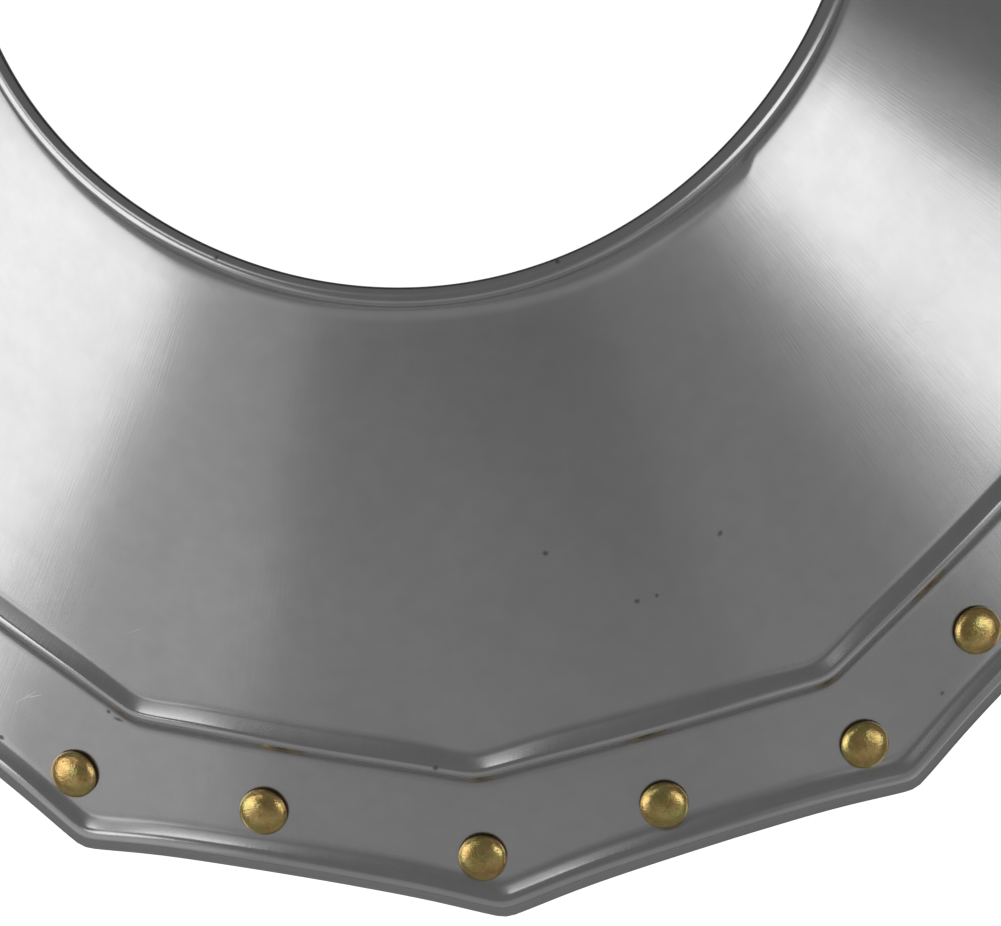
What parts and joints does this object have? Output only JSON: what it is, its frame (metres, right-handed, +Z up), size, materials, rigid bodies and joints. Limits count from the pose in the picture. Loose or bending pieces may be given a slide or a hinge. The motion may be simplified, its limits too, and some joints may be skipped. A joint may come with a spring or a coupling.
{
  "type": "steel gorget",
  "caption": "Two-plate steel neck and collar guard with a rolled neck rim, a raised angular ridge, brass rivets along a many-sided lower edge and buckled leather side straps.",
  "frame": {"origin": "on the floor under the middle of the gorget, which stands on the corners of its lower edge", "axes": "+Z up, the front of the gorget towards -Y, its left and right sides along X"},
  "size_m": [0.2882, 0.293, 0.0684],
  "materials": {
    "steel": "satin brushed sheet steel",
    "brass": "worn polished brass",
    "leather": "brown strap leather"
  },
  "bodies": {
    "root": {"front_plate": "steel", "front_corner_rivet_1": "brass", "front_side_rivet_2": "brass", "front_corner_rivet_2": "brass", "front_side_rivet_3": "brass", "front_corner_rivet_3": "brass", "front_side_rivet_4": "brass", "front_corner_rivet_4": "brass", "front_side_rivet_5": "brass", "front_corner_rivet_5": "brass", "front_side_rivet_6": "brass", "front_corner_rivet_6": "brass", "front_side_rivet_7": "brass", "front_corner_rivet_7": "brass", "back_plate": "steel", "back_corner_rivet_1": "brass", "back_side_rivet_2": "brass", "back_corner_rivet_2": "brass", "back_side_rivet_3": "brass", "back_corner_rivet_3": "brass", "back_side_rivet_4": "brass", "back_corner_rivet_4": "brass", "back_side_rivet_5": "brass", "back_corner_rivet_5": "brass", "back_side_rivet_6": "brass", "back_corner_rivet_6": "brass", "back_side_rivet_7": "brass", "back_corner_rivet_7": "brass", "right_strap": "leather", "right_buckle_tab": "leather", "right_buckle": "brass", "right_prong": "brass", "right_strap_rivet": "brass", "right_tab_rivet": "brass", "left_strap": "leather", "left_buckle_tab": "leather", "left_buckle": "brass", "left_prong": "brass", "left_strap_rivet": "brass", "left_tab_rivet": "brass"}
  },
  "joints": []
}
